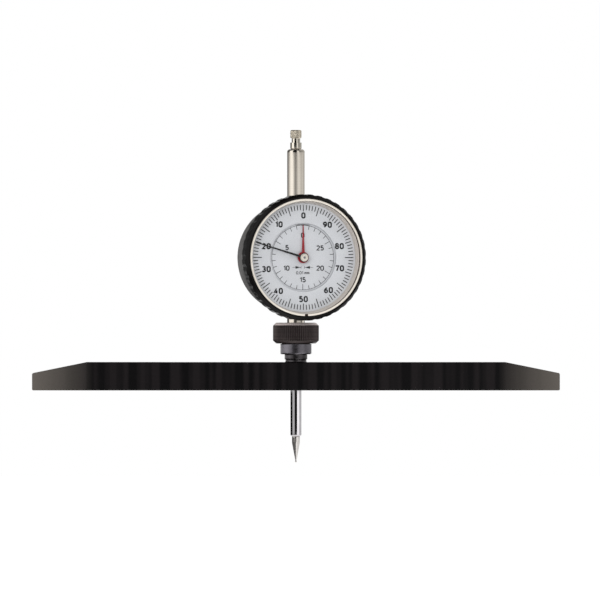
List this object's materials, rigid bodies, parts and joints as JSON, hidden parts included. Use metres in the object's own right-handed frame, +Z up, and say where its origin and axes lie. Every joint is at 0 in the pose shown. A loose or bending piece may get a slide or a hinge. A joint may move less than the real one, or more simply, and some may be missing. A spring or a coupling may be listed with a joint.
{
  "type": "dial depth gauge",
  "caption": "Depth gauge: a round dial indicator with a sliding spindle and pointed tip, held upright by a knurled clamp nut in a long flat measuring bridge.",
  "frame": {"origin": "where the spindle's axis crosses the measuring face, the underside of the bridge", "axes": "+Z up along the spindle towards the lifting knob, +X along the bridge, the dial faces -Y turned 17 degrees towards +X"},
  "size_m": [0.24, 0.0418, 0.1514],
  "materials": {
    "ground_steel": "ground and polished, darkly reflecting",
    "blued_steel": "blued",
    "nut_black": "black oxide, knurled",
    "collet_steel": "hardened",
    "nickel": "satin nickel plate",
    "hard_chrome": "polished",
    "case_grey": "satin brushed lacquer",
    "rim_black": "black, fine turned",
    "cover_black": "satin black",
    "screw_steel": "plain",
    "brass": "fine brushed",
    "bronze": "plain bearing bronze",
    "arbor_steel": "polished",
    "spring_steel": "drawn wire",
    "dial_grey": "matt printed",
    "spacer_grey": "satin",
    "clear_crystal": "clear, polished",
    "hand_black": "gloss black",
    "hand_red": "deep red"
  },
  "bodies": {
    "stand": {"measuring_bridge": "ground_steel", "clamp_socket": "blued_steel"},
    "collet": {"split_collet": "collet_steel"},
    "nut": {"clamp_nut": "nut_black"},
    "carrier": {"lower_guide_bush": "bronze"},
    "gauge": {"gauge_case": "case_grey", "back_cover": "cover_black", "cover_screws": "screw_steel", "mounting_stem": "nickel", "guard_tube": "nickel", "upper_guide_bush": "bronze", "rear_plate": "brass", "middle_plate": "brass", "front_plate": "brass", "plate_pillars": "brass", "pillar_screws": "screw_steel", "plate_screws": "screw_steel", "dial_posts": "brass", "counter_dial": "dial_grey", "centre_bush": "bronze", "guide_bar": "arbor_steel", "spring_post": "arbor_steel", "measuring_spring": "spring_steel", "hairspring": "spring_steel", "hairspring_stud": "arbor_steel", "rim_spring": "spring_steel"},
    "turning_rim": {"rim": "rim_black", "dial_scale": "dial_grey", "spacer_ring": "spacer_grey", "crystal": "clear_crystal", "tension_ring": "nickel"},
    "plunger": {"spindle": "hard_chrome", "lifting_knob": "nickel", "guide_pin": "arbor_steel", "measuring_insert": "hard_chrome"},
    "rack_shaft": {"rack_arbor": "arbor_steel", "main_wheel": "brass", "counter_pinion": "brass"},
    "pointer_shaft": {"centre_arbor": "arbor_steel", "pointer": "hand_black", "pointer_cap": "nickel"},
    "counter_shaft": {"counter_wheel": "brass", "counter_hand": "hand_red"},
    "takeup_shaft": {"takeup_arbor": "arbor_steel", "takeup_wheel": "brass"}
  },
  "joints": [
    {"name": "collet_lift", "type": "slide", "parent": "stand", "child": "collet", "axis": [0, 0, 1], "range_m": [0, 0.0005]},
    {"name": "clamp_nut_turn", "type": "hinge", "parent": "collet", "child": "nut", "pos_m": [0, 0, 0.026], "axis": [0, 0, 1], "range_deg": [-1, 181]},
    {"name": "gauge_height", "type": "slide", "parent": "stand", "child": "carrier", "axis": [0, 0, 1], "range_m": [0, 0.008]},
    {"name": "gauge_swivel", "type": "hinge", "parent": "carrier", "child": "gauge", "pos_m": [0, 0, 0.02], "axis": [0, 0, 1], "continuous": true},
    {"name": "rim_turn", "type": "hinge", "parent": "gauge", "child": "turning_rim", "pos_m": [0, 0, 0.0604], "axis": [0.2924, -0.9563, 0], "continuous": true},
    {"name": "spindle_slide", "type": "slide", "parent": "gauge", "child": "plunger", "axis": [0, 0, 1], "range_m": [0, 0.0305], "stiffness_N_per_m": 26, "springref_m": -0.038, "deforming": ["measuring_spring"]},
    {"name": "rack_arbor_turn", "type": "hinge", "parent": "gauge", "child": "rack_shaft", "pos_m": [-0.00334, -0.00102, 0.07083], "axis": [0.2924, -0.9563, 0], "range_deg": [-5, 1110]},
    {"name": "pointer_turn", "type": "hinge", "parent": "gauge", "child": "pointer_shaft", "pos_m": [0, 0, 0.0604], "axis": [0.2924, -0.9563, 0], "range_deg": [-11000, 50]},
    {"name": "counter_turn", "type": "hinge", "parent": "gauge", "child": "counter_shaft", "pos_m": [0, 0, 0.0604], "axis": [0.2924, -0.9563, 0], "range_deg": [-370, 5]},
    {"name": "takeup_turn", "type": "hinge", "parent": "gauge", "child": "takeup_shaft", "pos_m": [0.00911, 0.00279, 0.0549], "axis": [0.2924, -0.9563, 0], "range_deg": [-5, 1110]}
  ],
  "couplings": [
    {"joint": "clamp_nut_turn", "follows": "collet_lift", "rad_per_m": 6283.2},
    {"joint": "rack_arbor_turn", "follows": "spindle_slide", "rad_per_m": 628.32},
    {"joint": "pointer_turn", "follows": "spindle_slide", "rad_per_m": -6283.2},
    {"joint": "counter_turn", "follows": "spindle_slide", "rad_per_m": -209.44},
    {"joint": "takeup_turn", "follows": "spindle_slide", "rad_per_m": 628.32}
  ]
}
